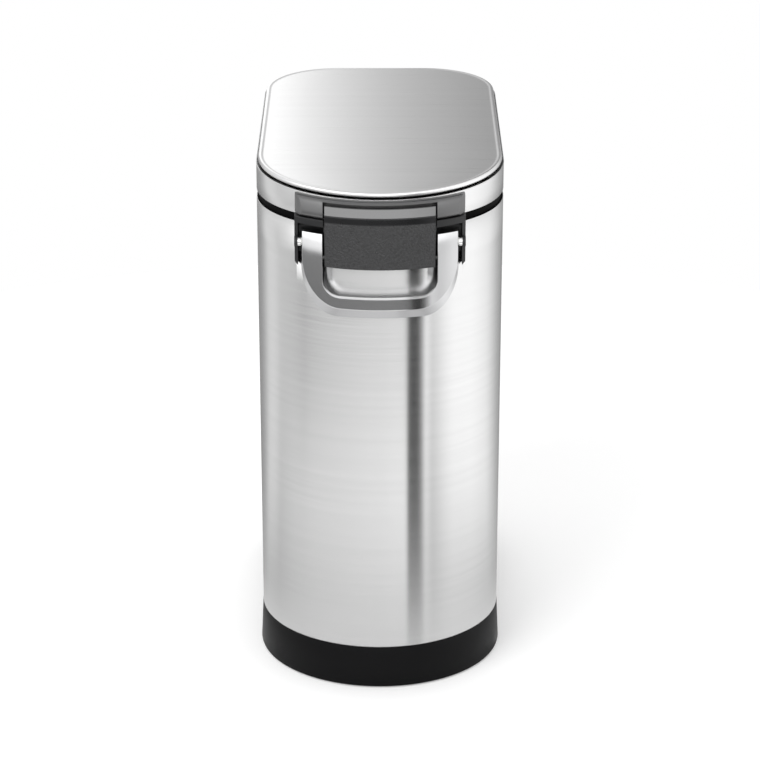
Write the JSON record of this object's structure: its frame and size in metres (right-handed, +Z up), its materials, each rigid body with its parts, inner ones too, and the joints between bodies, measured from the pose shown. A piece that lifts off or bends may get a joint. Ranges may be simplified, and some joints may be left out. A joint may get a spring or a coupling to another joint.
{
  "type": "lidded storage bin",
  "caption": "Tall floor-standing storage bin with a round front, a sloping rear-hinged lid, a black base ring and a bail-handle lever latch that holds the lid shut.",
  "frame": {"origin": "floor plane under the middle of the whole part's box", "axes": "+Z up, the round latch front faces -Y, +X to the right seen from the front"},
  "size_m": [0.2648, 0.4634, 0.5756],
  "materials": {
    "body_steel": "horizontal brushed, satin",
    "lid_steel": "fine satin",
    "hinge_steel": "plain sheet",
    "bail_metal": "satin",
    "pin_steel": "bright",
    "screw_steel": "zinc plated",
    "base_plastic": "matte black moulding",
    "rim_plastic": "matte black moulding",
    "bracket_plastic": "semi-gloss black moulding",
    "latch_plastic": "fine spark-eroded texture",
    "bucket_plastic": "smooth grey moulding",
    "bush_plastic": "natural nylon",
    "foot_rubber": "matte",
    "gasket_rubber": "soft grey silicone"
  },
  "bodies": {
    "root": {"body_shell": "body_steel", "base_ring": "base_plastic", "bottom_plate": "base_plastic", "rubber_feet": "foot_rubber", "base_screws": "screw_steel", "top_rim": "rim_plastic", "inner_bucket": "bucket_plastic", "latch_bracket": "bracket_plastic", "bracket_screws": "screw_steel", "handle_pins": "pin_steel", "hinge_bracket": "hinge_steel", "hinge_pin": "pin_steel", "hinge_screws": "screw_steel", "hinge_nuts": "screw_steel"},
    "lid": {"lid_plate": "lid_steel", "lid_band": "lid_steel", "lid_tray": "rim_plastic", "lid_gasket": "gasket_rubber", "catch_cover": "bracket_plastic", "catch_plate": "hinge_steel", "catch_screws": "screw_steel", "lid_hinge_leaf": "hinge_steel", "lid_hinge_screws": "screw_steel"},
    "handle": {"bail_handle": "bail_metal", "handle_bushes": "bush_plastic", "link_pins": "pin_steel"},
    "latch": {"latch_plate": "latch_plastic", "latch_hook": "hinge_steel", "latch_springs": "pin_steel"}
  },
  "joints": [
    {"name": "lid_hinge", "type": "hinge", "parent": "root", "child": "lid", "pos_m": [0, 0.22675, 0.521], "axis": [-1, 0, 0], "range_deg": [0, 95]},
    {"name": "handle_pivot", "type": "hinge", "parent": "root", "child": "handle", "pos_m": [0, -0.20225, 0.499], "axis": [-1, 0, 0], "range_deg": [0, 90]},
    {"name": "latch_link", "type": "hinge", "parent": "handle", "child": "latch", "pos_m": [0, -0.21475, 0.486], "axis": [-1, 0, 0], "range_deg": [-108, 0]}
  ],
  "couplings": [
    {"joint": "latch_link", "follows": "handle_pivot", "ratio": -1.2}
  ]
}
